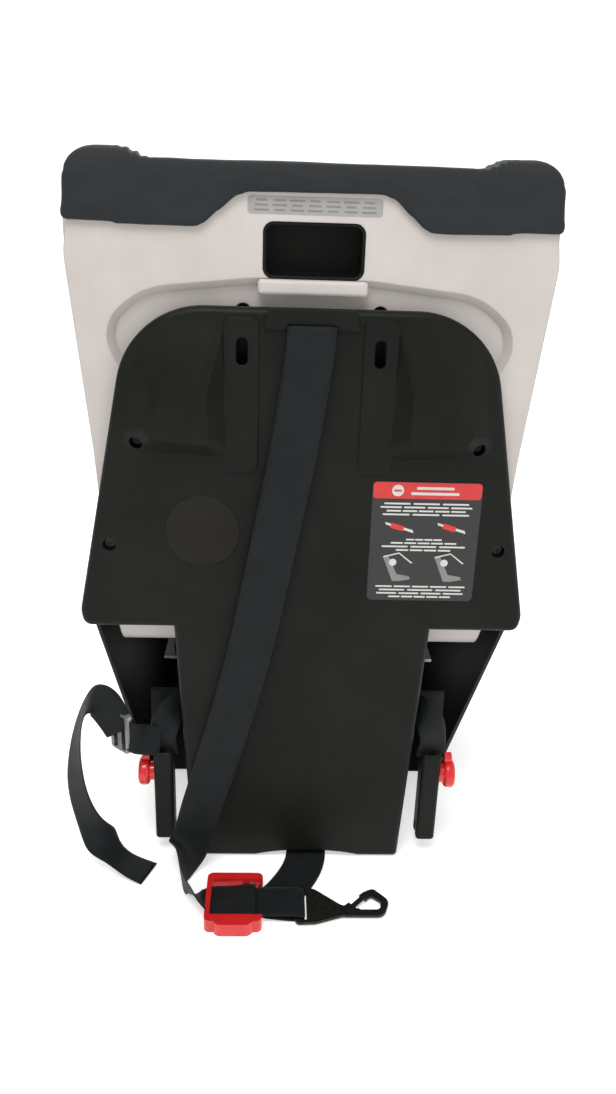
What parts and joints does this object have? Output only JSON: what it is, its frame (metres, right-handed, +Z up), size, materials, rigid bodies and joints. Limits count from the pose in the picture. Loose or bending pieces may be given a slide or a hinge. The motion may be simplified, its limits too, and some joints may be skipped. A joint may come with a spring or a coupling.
{
  "type": "convertible car seat",
  "caption": "Convertible child car seat: moulded bucket shell on a base with rear cover, sliding headrest, harness, lower anchors and top tether",
  "frame": {"origin": "on the floor plane under the middle of the base, at the base_floor mount", "axes": "+Z up, -Y the way the child faces, +X the left side of the seated child"},
  "size_m": [0.4588, 0.554, 0.694],
  "materials": {
    "shell_plastic": "satin moulded",
    "cover_plastic": "fine-textured satin",
    "red_plastic": "gloss moulded",
    "dark_fabric": "knit",
    "seat_fabric": "woven",
    "webbing": "woven webbing",
    "foam": "bead foam",
    "steel": "zinc plated",
    "black_steel": "black coated",
    "label_face": "printed film",
    "disc_plastic": "satin"
  },
  "bodies": {
    "seat": {"adjuster_web": "webbing", "back_cushion": "seat_fabric", "back_foam": "foam", "base_tray": "cover_plastic", "buckle_housing": "cover_plastic", "buckle_tongues": "steel", "chest_clip_socket": "cover_plastic", "chest_clip_tongue": "cover_plastic", "cover_screws": "black_steel", "crotch_strap": "webbing", "foot_pin": "steel", "front_adjuster": "cover_plastic", "handle_liner": "cover_plastic", "harness_anchors": "steel", "harness_left": "webbing", "harness_right": "webbing", "headrest_rails": "steel", "hip_bolster_left": "seat_fabric", "hip_bolster_right": "seat_fabric", "info_label": "label_face", "latch_adjuster": "steel", "latch_covers": "cover_plastic", "latch_pins": "steel", "latch_plates": "black_steel", "latch_strap": "webbing", "latch_tail": "webbing", "lever_pin": "steel", "rear_cover": "cover_plastic", "rear_disc": "disc_plastic", "seat_cushion": "seat_fabric", "seat_shell": "shell_plastic", "shoulder_pad_left": "seat_fabric", "shoulder_pad_right": "seat_fabric", "side_lugs": "shell_plastic", "splitter_plate": "steel", "tether_adjuster": "red_plastic", "tether_bezel": "cover_plastic", "tether_hook": "black_steel", "tether_lead": "webbing", "tether_strap": "webbing", "tether_tail": "webbing", "top_cover": "dark_fabric", "wing_foam": "foam", "wing_pad_left": "seat_fabric", "wing_pad_right": "seat_fabric"},
    "headrest": {"headrest_carriage": "cover_plastic", "headrest_shell": "cover_plastic", "headrest_foam": "foam", "headrest_pad": "seat_fabric"},
    "head_grip": {"headrest_grip": "cover_plastic"},
    "clip_button": {"chest_clip_button": "red_plastic"},
    "buckle_press": {"buckle_button": "red_plastic"},
    "front_lever": {"adjuster_lever": "cover_plastic"},
    "jaw_left": {"latch_jaw_left": "black_steel"},
    "jaw_right": {"latch_jaw_right": "black_steel"},
    "release_left": {"latch_button_left": "red_plastic"},
    "release_right": {"latch_button_right": "red_plastic"},
    "slide_bar": {"tether_bar": "steel"},
    "hook_gate": {"tether_gate": "black_steel"},
    "foot": {"recline_foot": "cover_plastic"}
  },
  "joints": [
    {"name": "headrest_slide", "type": "slide", "parent": "seat", "child": "headrest", "axis": [0, 0, 1], "range_m": [0, 0.1]},
    {"name": "head_grip_lift", "type": "slide", "parent": "headrest", "child": "head_grip", "axis": [0, 0, 1], "range_m": [0, 0.006], "stiffness_N_per_m": 400},
    {"name": "chest_button_press", "type": "slide", "parent": "seat", "child": "clip_button", "axis": [0, 1, 0], "range_m": [0, 0.0025], "stiffness_N_per_m": 400},
    {"name": "buckle_button_press", "type": "slide", "parent": "seat", "child": "buckle_press", "axis": [0, 0, -1], "range_m": [0, 0.004], "stiffness_N_per_m": 1200},
    {"name": "front_lever_lift", "type": "hinge", "parent": "seat", "child": "front_lever", "pos_m": [0, -0.239, 0.249], "axis": [-1, 0, 0], "range_deg": [0, 25], "stiffness_Nm_per_rad": 0.05},
    {"name": "jaw_left_open", "type": "hinge", "parent": "seat", "child": "jaw_left", "pos_m": [0.139, 0.18, 0.066], "axis": [-1, 0, 0], "range_deg": [0, 20], "stiffness_Nm_per_rad": 0.002},
    {"name": "jaw_right_open", "type": "hinge", "parent": "seat", "child": "jaw_right", "pos_m": [-0.139, 0.18, 0.066], "axis": [-1, 0, 0], "range_deg": [0, 20], "stiffness_Nm_per_rad": 0.002},
    {"name": "release_left_press", "type": "slide", "parent": "seat", "child": "release_left", "axis": [-1, 0, 0], "range_m": [0, 0.004]},
    {"name": "release_right_press", "type": "slide", "parent": "seat", "child": "release_right", "axis": [1, 0, 0], "range_m": [0, 0.004]},
    {"name": "tether_bar_slide", "type": "slide", "parent": "seat", "child": "slide_bar", "axis": [1, 0, 0], "range_m": [0, 0.005]},
    {"name": "hook_gate_open", "type": "hinge", "parent": "seat", "child": "hook_gate", "pos_m": [-0.052, 0.281, 0.006], "axis": [0, 0, -1], "range_deg": [0, 25], "stiffness_Nm_per_rad": 0.02},
    {"name": "recline_foot_swing", "type": "hinge", "parent": "seat", "child": "foot", "pos_m": [0, -0.17, 0.026], "axis": [-1, 0, 0], "range_deg": [0, 105]}
  ],
  "couplings": [
    {"joint": "release_left_press", "follows": "jaw_left_open", "m_per_rad": 0.011458},
    {"joint": "release_right_press", "follows": "jaw_right_open", "m_per_rad": 0.011458}
  ]
}
